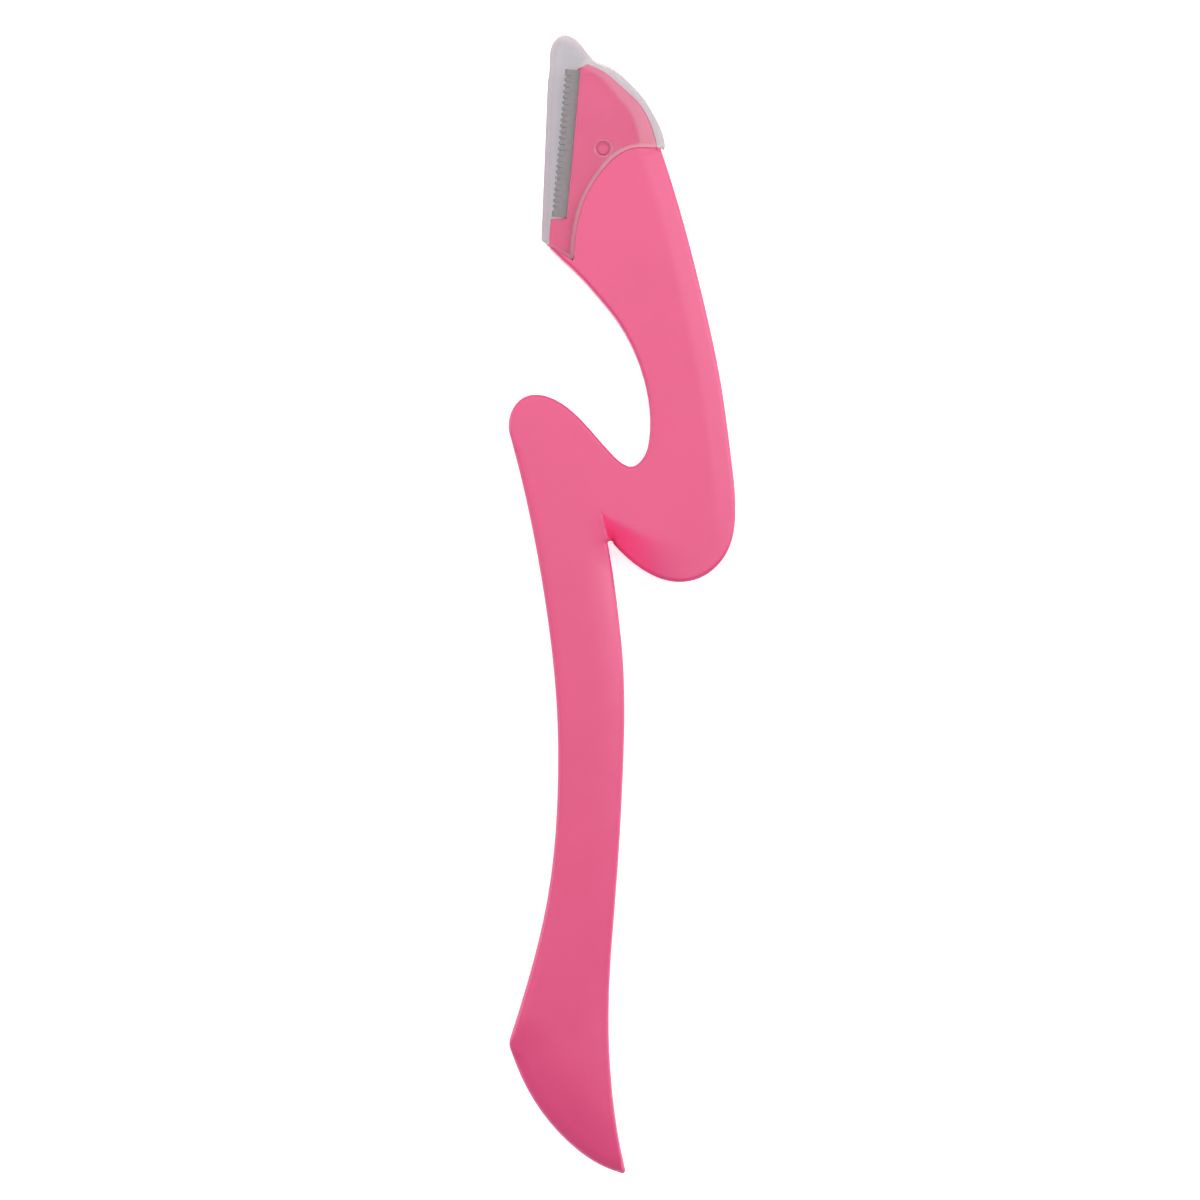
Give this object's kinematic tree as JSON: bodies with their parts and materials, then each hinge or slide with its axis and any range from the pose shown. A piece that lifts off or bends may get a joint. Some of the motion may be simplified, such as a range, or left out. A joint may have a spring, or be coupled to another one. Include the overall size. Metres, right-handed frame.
{
  "type": "facial razor",
  "caption": "Slim facial razor: guarded fixed blade along one side of a flat head, slip-on frosted cap, and a flat zigzag handle with a curved pointed tail.",
  "frame": {"origin": "centre of the whole outline, on the flat back that the razor lies on", "axes": "+Y along the handle towards the head, +X away from the cutting edge, +Z out of the front face"},
  "size_m": [0.0306, 0.1537, 0.0064],
  "materials": {
    "pink_plastic": "satin moulded plastic",
    "frosted_plastic": "frosted clear moulding",
    "blade_steel": "fine ground",
    "guard_steel": "thin rolled foil"
  },
  "bodies": {
    "handle": {"handle_front_shell": "pink_plastic", "handle_rear_shell": "pink_plastic", "head_carrier": "pink_plastic", "head_clamp": "pink_plastic", "head_pin": "pink_plastic", "blade": "blade_steel", "guard_comb": "guard_steel"},
    "cap": {"cap": "frosted_plastic"}
  },
  "joints": [
    {"name": "cap_slide", "type": "slide", "parent": "handle", "child": "cap", "axis": [0.0924, 0.9957, 0], "range_m": [0, 0.035]}
  ]
}
